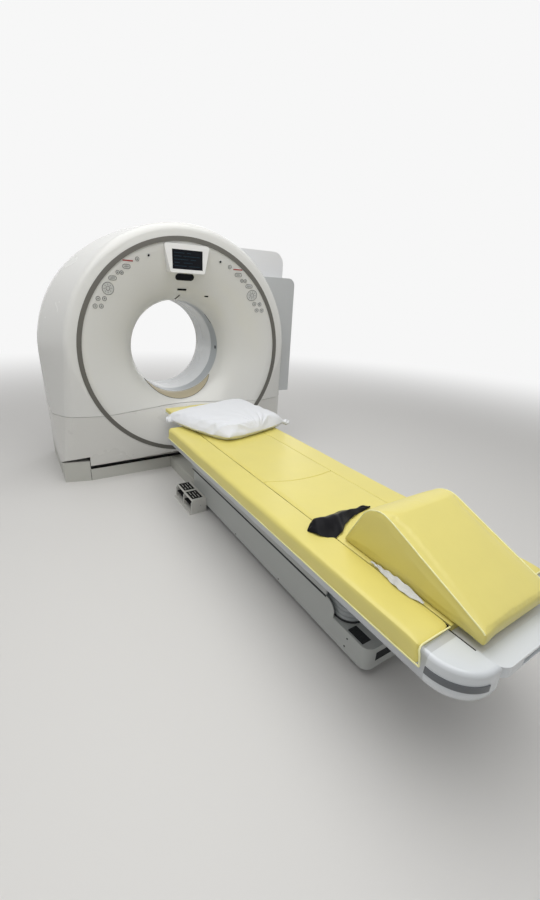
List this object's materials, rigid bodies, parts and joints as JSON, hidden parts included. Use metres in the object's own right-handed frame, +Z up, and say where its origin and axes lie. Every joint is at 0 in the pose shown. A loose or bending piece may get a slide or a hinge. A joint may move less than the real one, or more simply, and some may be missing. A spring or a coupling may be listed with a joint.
{
  "type": "ct scanner",
  "caption": "Whole body scanner with a tilting white gantry around a round bore, and a lifting table with yellow pads, leg wedge and pillow.",
  "frame": {"origin": "on the floor directly below the isocentre, at the underside of the gantry's floor frame", "axes": "+Z up, +Y from the table into the bore, +X to the right when looking from the table at the gantry"},
  "size_m": [2.052, 3.72, 1.9],
  "materials": {
    "shell": "gloss",
    "shell_lower": "gloss",
    "roof_white": "satin",
    "cabinet_grey": "satin",
    "base_beige": "satin",
    "pedestal_grey": "satin",
    "trim_taupe": "satin",
    "liner_grey": "satin",
    "liner_white": "satin",
    "window_film": "satin",
    "black_gloss": "gloss",
    "sill_tan": "satin",
    "key_grey": "satin",
    "lamp_red": "gloss",
    "frame_steel": "satin",
    "gear_steel": "machined",
    "bearing_steel": "ground",
    "motor_dark": "satin",
    "rotor_alu": "machined",
    "housing_grey": "satin",
    "contact_brass": "satin",
    "belt_rubber": "matt",
    "rail_alu": "anodised",
    "nose_white": "gloss",
    "cradle_grey": "satin",
    "bellows_grey": "matt",
    "vinyl_yellow": "satin",
    "pillow_white": "matt",
    "strap_black": "matt",
    "strap_grey": "matt",
    "pedal_black": "matt"
  },
  "bodies": {
    "base": {"base_frame": "frame_steel", "plinth_covers": "base_beige", "base_covers": "base_beige", "tilt_stands": "frame_steel", "tilt_bearings": "bearing_steel", "tilt_motor": "motor_dark", "floor_duct": "base_beige", "table_base": "frame_steel", "pedestal_cover": "pedestal_grey", "bellows": "bellows_grey", "foot_switch": "base_beige"},
    "tilt_drive": {"tilt_pinion": "gear_steel"},
    "gantry": {"tilt_frame": "frame_steel", "tilt_sector": "gear_steel", "bearing_outer": "bearing_steel", "front_cover_upper": "shell", "front_cover_lower": "shell_lower", "trim_ring": "trim_taupe", "bore_liner_front": "liner_grey", "scan_window": "window_film", "bore_liner_rear": "liner_white", "bore_sill": "sill_tan", "rear_cover": "shell", "roof_housing": "roof_white", "right_cabinet": "cabinet_grey", "display_pod": "shell", "display_screen": "black_gloss", "sensor_window": "black_gloss", "laser_windows": "black_gloss", "control_keys": "key_grey", "beam_lamps": "lamp_red", "intercoms": "black_gloss", "drive_motor": "motor_dark", "drive_belt": "belt_rubber", "brush_block": "motor_dark"},
    "rotor": {"rotor_drum": "rotor_alu", "bearing_inner": "bearing_steel", "tube_housing": "housing_grey", "collimator": "housing_grey", "high_voltage_tank": "housing_grey", "detector_arc": "housing_grey", "counterweight": "frame_steel", "slip_ring": "contact_brass"},
    "belt_pulley": {"motor_pulley": "rotor_alu"},
    "lift_stage": {"middle_columns": "rail_alu"},
    "table_top": {"table_frame": "frame_steel", "lift_skirts": "pedestal_grey", "table_rails": "rail_alu", "rail_noses": "nose_white", "nose_inlays": "trim_taupe", "side_pads": "vinyl_yellow"},
    "cradle": {"cradle": "cradle_grey", "cradle_end": "nose_white", "table_pad": "vinyl_yellow", "leg_wedge": "vinyl_yellow", "pillow": "pillow_white", "body_strap": "strap_black", "strap_tail": "strap_grey"},
    "pedal_up": {"pedal_raise": "pedal_black"},
    "pedal_down": {"pedal_lower": "pedal_black"}
  },
  "joints": [
    {"name": "gantry_tilt", "type": "hinge", "parent": "base", "child": "gantry", "pos_m": [0, 0, 1], "axis": [1, 0, 0], "range_deg": [-5, 30]},
    {"name": "tilt_pinion_spin", "type": "hinge", "parent": "base", "child": "tilt_drive", "pos_m": [-0.873, 0, 0.85], "axis": [1, 0, 0], "range_deg": [-120, 20]},
    {"name": "rotor_spin", "type": "hinge", "parent": "gantry", "child": "rotor", "pos_m": [0, 0.228, 1], "axis": [0, 1, 0], "continuous": true},
    {"name": "pulley_spin", "type": "hinge", "parent": "gantry", "child": "belt_pulley", "pos_m": [-0.62, 0.07, 0.36], "axis": [0, 1, 0], "continuous": true},
    {"name": "table_lift", "type": "slide", "parent": "base", "child": "table_top", "axis": [0, 0, 1], "range_m": [0, 0.42], "deforming": ["bellows"]},
    {"name": "stage_lift", "type": "slide", "parent": "base", "child": "lift_stage", "axis": [0, 0, 1], "range_m": [0, 0.21]},
    {"name": "cradle_feed", "type": "slide", "parent": "table_top", "child": "cradle", "axis": [0, 1, 0], "range_m": [0, 1.5]},
    {"name": "pedal_raise_press", "type": "hinge", "parent": "base", "child": "pedal_up", "pos_m": [-0.232, -1.0325, 0.052], "axis": [0, -1, 0], "range_deg": [0, 8], "stiffness_Nm_per_rad": 4, "springref_deg": -2.86},
    {"name": "pedal_lower_press", "type": "hinge", "parent": "base", "child": "pedal_down", "pos_m": [-0.232, -1.1775, 0.052], "axis": [0, -1, 0], "range_deg": [0, 8], "stiffness_Nm_per_rad": 4, "springref_deg": -2.86}
  ],
  "couplings": [
    {"joint": "tilt_pinion_spin", "follows": "gantry_tilt", "ratio": -4},
    {"joint": "pulley_spin", "follows": "rotor_spin", "ratio": 15.6},
    {"joint": "stage_lift", "follows": "table_lift", "ratio": 0.5},
    {"joint": "cradle_feed", "follows": "table_lift", "ratio": 0.65}
  ]
}
